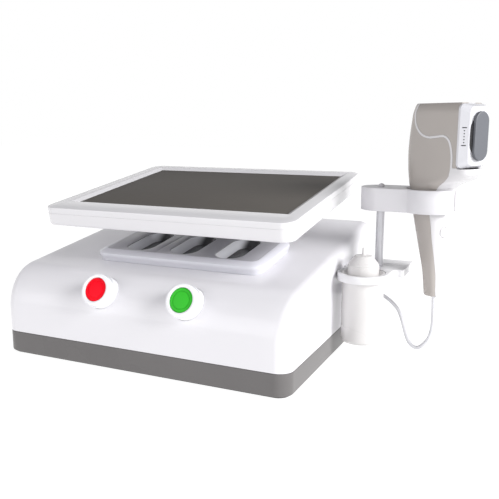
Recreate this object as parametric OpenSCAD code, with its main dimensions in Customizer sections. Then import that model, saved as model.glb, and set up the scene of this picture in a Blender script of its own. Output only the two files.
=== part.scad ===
// Desktop ultrasound therapy machine: console, lifting touch display, bottle ring and handpiece cradle.
// X is the width, +Y points to the back, +Z is up.
// The origin is the middle of the footprint at table level.

/* [Console] */
// Width of the console
console_w = 400; // [390:1:410]
// Depth of the console
console_d = 348; // [344:1:352]
// Height of the console's top at its front face
console_h = 108; // [106:1:112]
// Slope of the top towards the back, in degrees
top_slope = 7.6; // [7:0.1:8]
// Radius of the big roll from the front face to the top
front_r = 56; // [50:1:60]
// Radius of the rounding along the top's side and back edges
edge_r = 13; // [10:1:14]
// Radius of the upright corners
corner_r = 18; // [15:1:24]
// Wall thickness of the mouldings
wall = 3; // [2.5:0.1:3.5]
// Height of the grey band round the bottom
band_h = 27.5; // [24:0.5:30]
// Height that the rubber rim stands out
foot_h = 2; // [1.5:0.5:3]

/* [Display] */
// Width of the display
disp_w = 355; // [345:1:358]
// Length of the display, front to back
disp_l = 286; // [280:1:292]
// Thickness of the display
disp_t = 24.5; // [22:0.5:25]
// Width of the frame at the display's sides
bezel_side = 18; // [16:0.5:22]
// Width of the frame at the display's front
bezel_front = 38; // [34:0.5:42]
// Width of the frame at the display's back
bezel_back = 14; // [12:0.5:20]
// Length of the lifting arm between its two axes
arm_l = 110; // [105:1:112]

/* [Controls] */
// Distance between the two push buttons
button_pitch = 119; // [110:1:130]
// Angle of the buttons' axes above level, in degrees
button_tilt = 27; // [24:1:30]
// Travel of the push buttons
button_travel = 4; // [2:0.5:4]
// Width of the accessory tray
tray_w = 241; // [230:1:244]
// Length of the accessory tray
tray_l = 109; // [100:1:112]

/* [Holder] */
// Outer diameter of the gel bottle
bottle_d = 52.8; // [50:0.2:53.4]
// Diameter of the holder's post
post_d = 10.6; // [9:0.2:11]
// Height of the cradle's underside above the table
cradle_z = 187.5; // [186:0.5:188]
// Height of the cradle
cradle_h = 29.5; // [26:0.5:29.5]

/* [Handpiece] */
// Angle that the handpiece is turned towards the front, in degrees
hand_turn = 32; // [28:1:36]
// Diameter of the handpiece's cable
cable_d = 4.8; // [4.4:0.2:5]

/* [Hidden] */

gap = 0.3;              // clearance between neighbouring mouldings
fit = 0.05;             // radial clearance of a running fit
arc_n = 8;              // steps in a quarter turn of an outline
poke = 0.15;            // how far outlines reach past each other so that they cross cleanly
band_top = foot_h + band_h;
white = [0.93, 0.93, 0.95];
grey = [0.47, 0.46, 0.46];
beige = [0.72, 0.69, 0.66];
top_grey = [0.57, 0.56, 0.58];
metal = [0.75, 0.76, 0.78];
dark = [0.15, 0.15, 0.16];
board_green = [0.10, 0.38, 0.22];

// Console top: a plane that rises to the back
function top_at(y) = console_h + (y + console_d / 2) * tan(top_slope);
roll_y = -console_d / 2 + front_r;
roll_z = top_at(roll_y) - front_r / cos(top_slope);
back_y = console_d / 2 - edge_r;
back_z = top_at(back_y) - edge_r / cos(top_slope);

// Controls and tray
deck_x = 6.5;                               // the display sits this far right of the middle
button_face = [10, -177.4, 101.2];          // middle of the button faces, between the two buttons
tray_x = 15.5;
tray_y = -47;
tray_h = 15;
tray_bevel = 8.3;
pocket_pitch = 66;
pocket_w = 40;
pocket_l = 84;
pocket_deep = 11;

// Lifting arm
ear_x = 36;             // middle of each hinge ear
ear_w = 5;
pin_r = 4;
barrel_r = 8;
barrel_l = 2 * ear_x - ear_w - 2 * gap;
arm_rise = 16;          // height of the lower axis above the console's top
arm_y = 128;
lower_axis = [deck_x, arm_y, top_at(arm_y) + arm_rise];
disp_tilt = 7.7;
disp_y = -125;
disp_z = 188.4;
disp_under = disp_t / cos(disp_tilt);
disp_r = 17;            // radius of the display's corners
lip = 6.5;              // width of the slope from the frame down to the glass
view_w = disp_w - 2 * bezel_side;
view_l = disp_l - bezel_front - bezel_back;
view_y = bezel_front + view_l / 2;
upper_y = arm_y - arm_l;
upper_axis = [deck_x, upper_y, disp_z + (upper_y - disp_y) * tan(disp_tilt) - disp_under - arm_rise];

// Back panel
panel_z = 84;
panel_w = 250;
panel_h = 78;
fan_x = -80;
fan_size = 60;
fan_t = 15;
inlet_x = 88;
inlet_z = 68;
rocker_x = 88;
rocker_z = 102;
back_wall = console_d / 2 - wall;
panel_screw = [118, 32];
screw_far = [164, 138];    // base screws, from the middle

// Bottle ring, post and cradle
ring_at = [233, 2];
ring_r = 32.5;
bracket_z = 102.5;
bracket_h = 9.5;
post_at = [241, 51];
cup_at = [304, 51];
cup_r = 35.5;
cup_in = 31;
cup_gap = 27;           // half angle of the cradle ring's opening

// Cable: a hand-chosen route from the plug, under its own weight, up to the handpiece's tail
socket_at = [200, 60, 73];
CABLE_ROUTE = [[233, 60, 73], [241, 60, 71.5], [248, 59, 68.5], [255, 58, 64.5], [262, 56, 59.5],
    [268, 55, 53.5], [272, 54, 46.5], [275, 53, 39], [278, 52, 30], [281, 51, 21], [285, 49, 13],
    [291, 47, 7.5], [298, 46, 6.5], [305, 45, 12], [311, 45, 20.5], [314.5, 44.5, 31],
    [316, 44, 44], [316, 43.8, 60], [315.4, 43.8, 79.5]];

// Handpiece outline stations: height, back, front, half width, squareness
HAND = [[81, 3.5, 22.5, 10.8, 2.5], [83, 2, 24, 12.4, 2.5], [95, 1.2, 24, 13.7, 2.6],
    [125, -3.2, 24, 16.1, 2.6], [140, -7.7, 24, 17, 2.6], [155, -11.9, 24.2, 17.9, 2.6],
    [183, -19.2, 24.6, 19.4, 2.6], [205, -22.8, 27, 21.5, 2.7], [216, -24.3, 30, 23, 2.7],
    [218, -24.5, 30.2, 23.2, 2.7], [224, -25.6, 38, 23.8, 3.2], [231, -26.6, 56, 24, 3.6],
    [240, -27.4, 67, 24, 4], [262, -28.1, 68, 24, 4.2], [300, -24.3, 68, 24, 4.2],
    [310, -22.5, 68, 24, 4.2], [316, -21, 68, 22.5, 4], [320, -19, 67, 19.5, 3.5],
    [322, -17, 66, 16, 3.5]];
hand_n = 24;
notch_x = 55.2;         // back of the notch that takes the cartridge
notch_z = 245;
cart_front = 67.3;
pad_z = 283.2;
tail_x = 13.5;          // where the cable leaves the handle
screw_x = 30;           // scan mechanism's axis
fire_z = 164;

function arc(c, r, a0, a1, n) =
    [for (i = [0:n]) c + r * [cos(a0 + (a1 - a0) * i / n), sin(a0 + (a1 - a0) * i / n)]];
function round_rect(w, d, r) = concat(
    arc([w / 2 - r, d / 2 - r], r, 0, 90, arc_n), arc([r - w / 2, d / 2 - r], r, 90, 180, arc_n),
    arc([r - w / 2, r - d / 2], r, 180, 270, arc_n), arc([w / 2 - r, r - d / 2], r, 270, 360, arc_n));

module plate(w, d, h, r) linear_extrude(height = h) polygon(round_rect(w, d, r));
module along_x(w) translate([-w / 2, 0, 0]) rotate([90, 0, 90]) linear_extrude(height = w) children();
module block(low, high) translate(low) cube(high - low);
module on_top(x, y) translate([x, y, top_at(y)]) rotate([top_slope, 0, 0]) children();
module facing_back(x, z, y) translate([x, y, z]) rotate([-90, 0, 0]) mirror([0, 1, 0]) children();
module at_button(side) translate(button_face + [side * button_pitch / 2, 0, 0])
    rotate([90 - button_tilt, 0, 0]) children();
module in_display() translate([deck_x, disp_y, disp_z]) rotate([disp_tilt, 0, 0]) children();
module at_display_bracket(z) in_display() translate([0, (upper_y - disp_y) / cos(disp_tilt), z]) children();
module in_hand() translate([cup_at[0], cup_at[1], 0]) rotate([0, 0, -hand_turn]) children();
module x_cylinder(at, r, l) translate(at - [l / 2, 0, 0]) rotate([0, 90, 0])
    cylinder(r = r, h = l, $fn = 48);
module screw(r, head_r, head_h, l) {
    cylinder(r = head_r, h = head_h, $fn = 24);
    translate([0, 0, -l]) cylinder(r = r, h = l + 0.5, $fn = 24);
}

// Console outline, drawn in by inset and starting at height low
module console_solid(inset, low) {
    w = console_w / 2 - inset;
    d = console_d / 2 - inset;
    side_c = console_w / 2 - edge_r + poke;
    intersection() {
        translate([0, 0, low]) plate(2 * w, 2 * d, 200, corner_r - inset);
        along_x(console_w + 20) polygon(concat([[-d - poke, 0]],
            arc([roll_y - poke, roll_z + poke], front_r - inset, 180, 90 + top_slope, 2 * arc_n),
            arc([back_y + poke, back_z + poke], edge_r - inset, 90 + top_slope, 0, arc_n),
            [[d + poke, 0]]));
        translate([0, 0, top_at(0)]) rotate([top_slope, 0, 0]) translate([0, console_d, 0])
            rotate([90, 0, 0]) linear_extrude(height = 2 * console_d) polygon(concat(
                [[-w - poke, -250]],
                arc([-side_c, -edge_r], edge_r - inset, 180, 90, arc_n),
                arc([side_c, -edge_r], edge_r - inset, 90, 0, arc_n),
                [[w + poke, -250]]));
    }
}

// Grey tub: rounded bottom edge, floor, screw bosses and a lip that locates the top shell
module base_tray() color(grey) {
    w = console_w / 2;
    d = console_d / 2;
    r = 2;
    difference() {
        union() {
            intersection() {
                translate([0, 0, foot_h]) plate(2 * w, 2 * d, band_h, corner_r);
                along_x(console_w + 20) polygon(concat([[d + poke, 60], [-d - poke, 60]],
                    arc([r - d - poke, foot_h + r - poke], r, 180, 270, 4),
                    arc([d - r + poke, foot_h + r - poke], r, 270, 360, 4)));
                translate([0, d + 10, 0]) rotate([90, 0, 0]) linear_extrude(height = 2 * d + 20)
                    polygon(concat([[w + poke, 60], [-w - poke, 60]],
                        arc([r - w - poke, foot_h + r - poke], r, 180, 270, 4),
                        arc([w - r + poke, foot_h + r - poke], r, 270, 360, 4)));
            }
            translate([0, 0, band_top - 4])
                plate(2 * (w - wall - gap), 2 * (d - wall - gap), 8, corner_r - wall);
        }
        translate([0, 0, foot_h + wall])
            plate(2 * (w - wall) - 5, 2 * (d - wall) - 5, 60, corner_r - wall - 2);
        for (x = [-1, 1], y = [-1, 1]) translate([x * screw_far[0], y * screw_far[1], 0])
            cylinder(r = 2, h = 20, $fn = 24);
    }
    for (x = [-1, 1], y = [-1, 1]) translate([x * 150, y * 120, foot_h + wall - 0.5])
        cylinder(r = 5, h = 4.4, $fn = 24);
}

// White cover over everything, hollow, with all its openings
module top_shell() color(white) difference() {
    console_solid(0, band_top + gap);
    console_solid(wall, band_top - 10);
    for (side = [-1, 1]) at_button(side) translate([0, 0, -45]) cylinder(r = 21, h = 46, $fn = 64);
    translate([0, console_d / 2 + 5, panel_z]) rotate([90, 0, 0]) plate(panel_w, panel_h, 20, 6);
    x_cylinder(socket_at, 9.2, 20);
    on_top(deck_x, arm_y) translate([0, 0, -10]) {
        cylinder(r = 8, h = 20, $fn = 32);
        for (x = [-1, 1], y = [-1, 1]) translate([x * 24, y * 20, 0]) cylinder(r = 2, h = 20, $fn = 24);
    }
}

module rear_panel() color(metal) facing_back(0, panel_z, back_wall - 2.1) difference() {
    plate(panel_w + 12, panel_h + 12, 2, 6);
    for (x = [-1, 1], y = [-1, 1]) translate([x * panel_screw[0], y * panel_screw[1], -1])
        cylinder(r = 1.6, h = 4, $fn = 24);
    translate([inlet_x, inlet_z - panel_z, -1]) linear_extrude(height = 4)
        square([28.6, 20.6], center = true);
    translate([rocker_x, rocker_z - panel_z, -1]) linear_extrude(height = 4)
        square([22.6, 14.6], center = true);
    translate([fan_x, 0, -1]) linear_extrude(height = 4) intersection() {
        circle(r = 27, $fn = 64);
        for (i = [-4:4]) translate([i * 6, 0]) square([3.4, 60], center = true);
    }
    for (i = [-4:4]) translate([i * 7, 0, -1]) linear_extrude(height = 4) square([3, 50], center = true);
}

module chassis_plate() color(metal) translate([0, 0, foot_h + wall + 4]) difference() {
    plate(330, 270, 1.5, 8);
    for (x = [-1, 1], y = [-1, 1]) translate([x * 150, y * 120, -1]) cylinder(r = 2, h = 4, $fn = 24);
    for (i = [-3:3]) translate([i * 12, -60, -1]) plate(5, 70, 4, 2.4);
}

// One rubber rim under the whole edge: the machine stands on it
module foot_rim() color(dark) difference() {
    plate(console_w - 8, console_d - 8, foot_h - 0.1, corner_r - 4);
    translate([0, 0, -1]) plate(console_w - 24, console_d - 24, foot_h + 2, corner_r - 12);
}

// Machine screws: four under the base, four on the back and four in the stand
module screws() color(metal) for (x = [-1, 1], y = [-1, 1]) {
    translate([x * screw_far[0], y * screw_far[1], foot_h]) mirror([0, 0, 1]) screw(1.8, 3.4, 1.2, 12);
    facing_back(x * panel_screw[0], panel_z + y * panel_screw[1], back_wall - 0.1) screw(1.4, 2.8, 1.4, 5);
    on_top(deck_x, arm_y) translate([x * 24, y * 20, 4]) screw(1.8, 3.6, 1.8, 10);
}

module stadium(l, w) {
    for (y = [-1, 1]) translate([0, y * (l - w) / 2]) circle(r = w / 2, $fn = 48);
    square([w, l - w], center = true);
}

// Accessory tray: a stepped side, a sloping rim and three long pockets
module tray_body() color(white) on_top(tray_x, tray_y) difference() {
    union() {
        translate([0, 0, 0.1]) plate(tray_w - 4, tray_l - 4, 6.9, 14);
        translate([0, 0, 6.5]) hull() {
            plate(tray_w, tray_l, 4.5, 16);
            plate(tray_w - 2 * tray_bevel, tray_l - 2 * tray_bevel, tray_h - 6.5, 10);
        }
    }
    translate([0, 0, tray_h - 1.2]) plate(tray_w - 2 * tray_bevel - 4, tray_l - 2 * tray_bevel - 4, 5, 8);
    for (i = [-1:1]) translate([i * pocket_pitch, 0, tray_h - pocket_deep - 1.6]) linear_extrude(height = 20)
        stadium(pocket_l + 3, pocket_w + 3);
}

module tray_inlay() color(top_grey) on_top(tray_x, tray_y) translate([0, 0, tray_h - 1.1]) difference() {
    plate(tray_w - 2 * tray_bevel - 4.4, tray_l - 2 * tray_bevel - 4.4, 1.1, 8);
    for (i = [-1:1]) translate([i * pocket_pitch, 0, -1]) linear_extrude(height = 5)
        stadium(pocket_l + 0.2, pocket_w + 0.2);
    translate([-pocket_pitch / 2, 0, 0.7]) linear_extrude(height = 1) square([1, tray_l], center = true);
}

module tray_pockets() color(white) on_top(tray_x, tray_y)
    for (i = [-1:1]) translate([i * pocket_pitch, 0, tray_h - pocket_deep - 1.4]) difference() {
        linear_extrude(height = pocket_deep + 0.2) stadium(pocket_l + 2.4, pocket_w + 2.4);
        hull() {
            translate([0, 0, 1.2]) linear_extrude(height = 0.5) stadium(pocket_l - 16, pocket_w - 16);
            translate([0, 0, pocket_deep]) linear_extrude(height = 2) stadium(pocket_l, pocket_w);
        }
    }

// White collar round a button, with a guide for the stem
module bezel() difference() {
    union() {
        translate([0, 0, -7]) cylinder(r = 20.2, h = 6, $fn = 64);
        translate([0, 0, -1]) cylinder(r1 = 20.2, r2 = 19, h = 1, $fn = 64);
        translate([0, 0, -11]) cylinder(r = 18.4, h = 5, $fn = 64);
        translate([0, 0, -30]) cylinder(r = 20.7, h = 20, $fn = 64);
        translate([0, 0, -42]) cylinder(r = 13, h = 13, $fn = 48);
    }
    translate([0, 0, -11.5]) cylinder(r = 14.95, h = 20, $fn = 64);
    translate([0, 0, -32]) cylinder(r = 6 + fit, h = 30, $fn = 48);
    translate([0, 0, -45]) cylinder(r = 9, h = 14, $fn = 48);
}

module stop_bezel() color(white) at_button(-1) bezel();
module start_bezel() color(white) at_button(1) bezel();

module button_bracket() color(metal) translate(button_face) rotate([90 - button_tilt, 0, 0])
    translate([0, 0, -32.2]) difference() {
        plate(190, 38, 2, 6);
        for (side = [-1, 1]) translate([side * button_pitch / 2, 0, -1]) cylinder(r = 13.2, h = 4, $fn = 48);
    }

module button_nuts() color(metal) for (side = [-1, 1]) at_button(side) difference() {
    translate([0, 0, -36.4]) cylinder(r = 17, h = 4, $fn = 6);
    translate([0, 0, -38]) cylinder(r = 13.1, h = 8, $fn = 48);
}

module button_switches() color(dark) for (side = [-1, 1]) at_button(side) {
    translate([0, 0, -66]) cylinder(r = 12, h = 23.5, $fn = 48);
    for (x = [-1, 1]) translate([x * 5 - 0.4, -2, -73]) cube([0.8, 4, 8]);
}

// Push button: a cap with a raised ring line, on a round stem
module button_cap() {
    difference() {
        translate([0, 0, -6.4]) cylinder(r = 14.6, h = 5, $fn = 64);
        translate([0, 0, -2]) rotate_extrude($fn = 64) translate([10.2, 0]) square([0.9, 2]);
    }
    translate([0, 0, -38]) cylinder(r = 6, h = 32, $fn = 48);
}

module stop_button() color([0.95, 0.1, 0.16]) at_button(-1) button_cap();
module start_button() color([0.22, 0.76, 0.2]) at_button(1) button_cap();

module power_supply() color(metal) translate([-100, 40, foot_h + wall + 5.6]) difference() {
    block([-60, -40, 0], [60, 40, 38]);
    for (i = [-4:4]) translate([i * 11 - 2, -45, 26]) cube([4, 90, 20]);
}

module board_standoffs() color(metal) {
    for (x = [5, 135], y = [-10, 80]) translate([x, y, foot_h + wall + 5.5])
        cylinder(r = 3, h = 7.9, $fn = 6);
    for (x = [-150, -40], y = [-100, -40]) translate([x, y, foot_h + wall + 5.5])
        cylinder(r = 3, h = 7.9, $fn = 6);
}

module main_board() color(board_green) translate([70, 35, foot_h + wall + 13.5]) {
    block([-75, -55, 0], [75, 55, 1.6]);
    for (x = [-40, 0, 40]) translate([x - 9, -20, 1.6]) cube([18, 18, 2.4]);
    for (i = [0:4]) translate([-60 + i * 25, 36, 1.6]) cube([16, 9, 9]);
}

module driver_board() color(board_green) translate([-95, -70, foot_h + wall + 13.5]) {
    block([-62, -38, 0], [62, 38, 1.6]);
    for (x = [-50, -36, 36, 50]) translate([x, 24, 1.6]) cylinder(r = 5, h = 18, $fn = 32);
}

module heat_sink() color(metal) translate([-95, -76, foot_h + wall + 15.2]) {
    block([-30, -24, 0], [30, 24, 4]);
    for (i = [-5:5]) translate([i * 5.6 - 0.7, -24, 3.5]) cube([1.4, 48, 24]);
}

// Fan behind the back panel
module fan_frame() color(dark) facing_back(fan_x, panel_z, back_wall - 2.2 - fan_t) {
    difference() {
        plate(fan_size, fan_size, fan_t, 5);
        translate([0, 0, -1]) cylinder(r = 28.5, h = fan_t + 2, $fn = 64);
        for (x = [-1, 1], y = [-1, 1]) translate([x * 25, y * 25, -1])
            cylinder(r = 2, h = fan_t + 2, $fn = 24);
    }
    for (a = [0:120:240]) rotate([0, 0, a]) translate([8, -1.5, 0]) cube([21, 3, 2]);
    cylinder(r = 12, h = 2, $fn = 48);
    cylinder(r = 1.5, h = 10, $fn = 32);
}

module fan_rotor() color(dark) facing_back(fan_x, panel_z, back_wall - 2.2 - fan_t) {
    difference() {
        translate([0, 0, 2.8]) cylinder(r = 12, h = 11, $fn = 48);
        translate([0, 0, 2]) cylinder(r = 1.5 + fit, h = 9, $fn = 32);
    }
    for (i = [0:6]) rotate([0, 0, i * 360 / 7]) translate([11, 0, 8.3]) rotate([38, 0, 0])
        translate([0, -0.6, -5.2]) cube([15.5, 1.2, 10.4]);
}

module mains_inlet() color(dark) facing_back(inlet_x, inlet_z, back_wall) {
    difference() {
        union() {
            plate(48, 24, 2.4, 3);
            translate([0, 0, -18]) linear_extrude(height = 19) square([28, 20], center = true);
        }
        translate([0, 0, -15]) linear_extrude(height = 20) square([24, 16], center = true);
    }
    for (p = [[-7, -2], [7, -2], [0, 3]]) translate([p[0] - 1, p[1] - 2, -15.5]) cube([2, 4, 9]);
}

// Rocker switch: a frame with a rocker on two small pivots
module rocker_frame() color(dark) facing_back(rocker_x, rocker_z, back_wall) difference() {
    union() {
        plate(27, 19, 2, 2);
        translate([0, 0, -16]) linear_extrude(height = 17) square([22, 14], center = true);
    }
    translate([0, 0, -13]) linear_extrude(height = 20) square([18.4, 11.4], center = true);
    translate([0, -8, -3]) rotate([-90, 0, 0]) cylinder(r = 1.2 + fit, h = 16, $fn = 32);
}

module power_rocker() color([0.2, 0.2, 0.22]) facing_back(rocker_x, rocker_z, back_wall) {
    translate([0, 5.4, -3]) rotate([90, 0, 0]) linear_extrude(height = 10.8)
        polygon([[-8.2, 0], [-7.4, -4], [7.4, -4], [8.2, 3.6], [0, 3.2], [-8.4, 6.4]]);
    translate([0, -6.6, -3]) rotate([-90, 0, 0]) cylinder(r = 1.2, h = 13.2, $fn = 32);
}

module handpiece_socket() color(metal) translate(socket_at) rotate([0, 90, 0]) difference() {
    union() {
        translate([0, 0, 0.1]) cylinder(r = 12, h = 2.4, $fn = 48);
        translate([0, 0, -16]) cylinder(r = 9, h = 17, $fn = 48);
    }
    translate([0, 0, -12]) cylinder(r = 6.4, h = 20, $fn = 48);
}

module cable_plug() color(white) translate(socket_at) rotate([0, 90, 0]) {
    translate([0, 0, -10]) cylinder(r = 6.2, h = 14, $fn = 48);
    translate([0, 0, 2.7]) cylinder(r = 8, h = 17, $fn = 48);
    translate([0, 0, 19.7]) cylinder(r1 = 6, r2 = 3.4, h = 13.3, $fn = 48);
}

// Sweep of one round tube along a list of points
function side_of(t) = let (c = cross(t, [0, 1, 0.05])) c / norm(c);
function ring_at_point(p, t, r, n) = let (u = side_of(t), v = cross(t, u))
    [for (k = [0:n - 1]) p + r * (cos(360 * k / n) * u + sin(360 * k / n) * v)];
function spline(a, b, c, d, t) = 0.5 * (2 * b + (c - a) * t + (2 * a - 5 * b + 4 * c - d) * t * t
    + (3 * b - a - 3 * c + d) * t * t * t);
function route_at(route, s) = let (n = len(route) - 1, i = min(floor(s), n - 1))
    spline(route[max(i - 1, 0)], route[i], route[i + 1], route[min(i + 2, n)], s - i);

module tube(route, r, sides, per) {
    steps = (len(route) - 1) * per;
    mid = [for (i = [0:steps]) route_at(route, i / per)];
    rings = [for (i = [0:steps]) let (t = mid[min(i + 1, steps)] - mid[max(i - 1, 0)])
        ring_at_point(mid[i], t / norm(t), r, sides)];
    polyhedron(points = [for (ring = rings) each ring], faces = concat(
        [[for (k = [0:sides - 1]) k]],
        [[for (k = [sides - 1:-1:0]) steps * sides + k]],
        [for (i = [0:steps - 1], k = [0:sides - 1])
            [i * sides + (k + 1) % sides, i * sides + k, (i + 1) * sides + k]],
        [for (i = [0:steps - 1], k = [0:sides - 1])
            [i * sides + (k + 1) % sides, (i + 1) * sides + k, (i + 1) * sides + (k + 1) % sides]]));
}

module handpiece_cable() color(white) tube(CABLE_ROUTE, cable_d / 2, 8, 2);

// Two-axis stand of the display
module hinge_ear(axis, foot) rotate([90, 0, 90]) linear_extrude(height = ear_w) difference() {
    union() {
        translate([axis[1], axis[2]]) circle(r = barrel_r, $fn = 48);
        polygon(concat([[axis[1] - barrel_r, axis[2]]], foot, [[axis[1] + barrel_r, axis[2]]]));
    }
    translate([axis[1], axis[2]]) circle(r = pin_r + 0.02, $fn = 48);
}

module stand_base() color(white) difference() {
    union() {
        on_top(deck_x, arm_y) translate([0, 0, 0.1]) plate(100, 64, 3.9, 10);
        for (x = [-1, 1]) translate([deck_x + x * ear_x - ear_w / 2, 0, 0])
            hinge_ear(lower_axis, [[arm_y - 14, top_at(arm_y - 14) + 3],
                [arm_y + 14, top_at(arm_y + 14) + 3]]);
    }
    on_top(deck_x, arm_y) {
        for (x = [-1, 1], y = [-1, 1]) translate([x * 24, y * 20, -1]) cylinder(r = 2, h = 8, $fn = 24);
        translate([0, 0, -1]) cylinder(r = 8, h = 8, $fn = 32);
    }
}

module lower_hinge_pin() color(metal) x_cylinder(lower_axis, pin_r, 2 * ear_x + 9);
module upper_hinge_pin() color(metal) x_cylinder(upper_axis, pin_r, 2 * ear_x + 9);

module lift_arm() color(white) difference() {
    union() {
        x_cylinder(lower_axis, barrel_r, barrel_l);
        x_cylinder(upper_axis, barrel_r, barrel_l);
        translate([deck_x, 0, 0]) along_x(barrel_l) polygon([[lower_axis[1], lower_axis[2] - 5],
            [lower_axis[1], lower_axis[2] + 5], [upper_axis[1], upper_axis[2] + 5],
            [upper_axis[1], upper_axis[2] - 5]]);
    }
    x_cylinder(lower_axis, pin_r + fit, 100);
    x_cylinder(upper_axis, pin_r + fit, 100);
}

// Display, drawn flat in its own frame: y runs from the front edge, z down from the top face
module display_front_frame() color(white) in_display() difference() {
    translate([0, disp_l / 2, -8]) plate(disp_w, disp_l, 8, disp_r);
    translate([0, disp_l / 2, -9]) plate(disp_w - 5, disp_l - 5, 4, disp_r - 2.5);
    translate([0, view_y, -3]) hull() {
        plate(view_w - 2 * lip, view_l - 2 * lip, 0.1, 1);
        translate([0, 0, 3]) plate(view_w, view_l, 1, 2);
    }
    translate([0, view_y, -9]) plate(view_w - 2 * lip, view_l - 2 * lip, 8, 1);
}

module display_rear_cover() color(white) in_display() difference() {
    intersection() {
        translate([0, disp_l / 2, -disp_t]) plate(disp_w, disp_l, disp_t - 8 - 0.2, disp_r);
        along_x(disp_w + 10) polygon(concat([[disp_l + poke, 0], [-poke, 0]],
            arc([4 - poke, 4 - disp_t - poke], 4, 180, 270, 4),
            arc([disp_l - 4 + poke, 4 - disp_t - poke], 4, 270, 360, 4)));
        translate([0, disp_l + 5, 0]) rotate([90, 0, 0]) linear_extrude(height = disp_l + 10)
            polygon(concat([[disp_w / 2 + poke, 0], [-disp_w / 2 - poke, 0]],
                arc([4 - disp_w / 2 - poke, 4 - disp_t - poke], 4, 180, 270, 4),
                arc([disp_w / 2 - 4 + poke, 4 - disp_t - poke], 4, 270, 360, 4)));
    }
    translate([0, disp_l / 2, 2.5 - disp_t]) difference() {
        plate(disp_w - 5, disp_l - 5, 30, disp_r - 2.5);
        for (x = [-1, 1], y = [-1, 1]) translate([x * 68, y * 38, -1]) cylinder(r = 3, h = 3.3, $fn = 24);
    }
    for (x = [-1, 1], y = [-1, 1])
        translate([x * 44, (upper_y - disp_y) / cos(disp_tilt) + y * 24, -disp_t - 5])
            cylinder(r = 1.8, h = 10, $fn = 24);
}

module display_glass() color([0.3, 0.29, 0.28]) in_display()
    translate([0, view_y, -5]) plate(view_w - 2 * lip - 0.4, view_l - 2 * lip - 0.4, 1.9, 1);

module lcd_panel() color(metal) in_display()
    translate([0, view_y, -12.5]) plate(view_w + 2, view_l + 2, 7.3, 2);

module display_board() color(board_green) in_display()
    translate([0, disp_l / 2, -18.5]) plate(150, 90, 1.6, 3);

module display_bracket() color(metal) {
    at_display_bracket(-disp_t - 3) difference() {
        plate(100, 60, 2.9, 8);
        for (x = [-1, 1], y = [-1, 1]) translate([x * 44, y * 24, -1]) cylinder(r = 1.8, h = 5, $fn = 24);
    }
    for (x = [-1, 1]) translate([deck_x + x * ear_x - ear_w / 2, 0, 0])
        hinge_ear(upper_axis, [[upper_y + 12, upper_axis[2] + arm_rise - 0.5],
            [upper_y - 12, upper_axis[2] + arm_rise - 3.5]]);
}

module display_screws() color(metal) at_display_bracket(-disp_t - 3.1)
    for (x = [-1, 1], y = [-1, 1]) translate([x * 44, y * 24, 0]) mirror([0, 0, 1]) screw(1.6, 3, 1.6, 5.4);

// Bottle ring and shelf in one plate, fastened to the console's side
module holder_bracket() color(white) translate([0, 0, bracket_z]) difference() {
    linear_extrude(height = bracket_h) difference() {
        union() {
            translate(ring_at) circle(r = ring_r, $fn = 96);
            translate([console_w / 2 + 0.2, 29.5]) square([77.8, 64.5]);
            polygon([[250, 2], [265.4, 2], [265.4, 20], [275, 30], [250, 30]]);
        }
        translate([273.4, 21.5]) circle(r = 8, $fn = 48);
    }
    translate([ring_at[0], ring_at[1], -1]) cylinder(r = bottle_d / 2 + 0.5, h = 20, $fn = 96);
    translate([ring_at[0], ring_at[1], bracket_h - 3]) cylinder(r = bottle_d / 2 + 2.3, h = 5, $fn = 96);
    translate([post_at[0], post_at[1], 3]) cylinder(r = post_d / 2 + 0.02, h = 20, $fn = 48);
}

module holder_post() color(metal) translate([post_at[0], post_at[1], bracket_z + 3])
    cylinder(r = post_d / 2, h = cradle_z + cradle_h - bracket_z - 3, $fn = 48);

// Cradle: a deep arm round the post, ending in an open ring for the handle
module cradle() color(white) translate([0, 0, cradle_z]) difference() {
    linear_extrude(height = cradle_h) difference() {
        union() {
            translate(post_at) circle(r = 26, $fn = 96);
            translate([post_at[0], post_at[1] - 26]) square([42, 52]);
            translate(cup_at) circle(r = cup_r, $fn = 96);
        }
        translate(cup_at) circle(r = cup_in, $fn = 96);
        translate(cup_at) polygon([[20, -20 * tan(cup_gap)], [60, -60 * tan(cup_gap)],
            [60, 60 * tan(cup_gap)], [20, 20 * tan(cup_gap)]]);
    }
    translate([post_at[0], post_at[1], -1]) cylinder(r = post_d / 2 + 0.02, h = 60, $fn = 48);
}

module cradle_screw() color(metal) translate([post_at[0], post_at[1], cradle_z + cradle_h + 0.1])
    intersection() {
        translate([0, 0, -0.5]) sphere(r = 4.6, $fn = 48);
        cylinder(r = 3.9, h = 5, $fn = 48);
    }

// Handpiece body: superellipse sections joined into one smooth form
function corner(a, e) = sign(a) * pow(abs(a), 2 / e);
function hand_ring(s, inset) = [for (k = [0:hand_n - 1]) let (a = 360 * k / hand_n)
    [(s[1] + s[2]) / 2 + ((s[2] - s[1]) / 2 - inset) * corner(cos(a), s[4]),
     (s[3] - inset) * corner(sin(a), s[4]),
     min(max(s[0], HAND[0][0] + inset), HAND[len(HAND) - 1][0] - inset)]];

module hand_solid(inset) {
    n = hand_n;
    last = len(HAND) - 1;
    polyhedron(points = [for (s = HAND) each hand_ring(s, inset)], faces = concat(
        [[for (k = [0:n - 1]) k]],
        [[for (k = [n - 1:-1:0]) last * n + k]],
        [for (i = [0:last - 1], k = [0:n - 1]) [i * n + (k + 1) % n, i * n + k, (i + 1) * n + k]],
        [for (i = [0:last - 1], k = [0:n - 1])
            [i * n + (k + 1) % n, (i + 1) * n + k, (i + 1) * n + (k + 1) % n]]));
}

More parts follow.
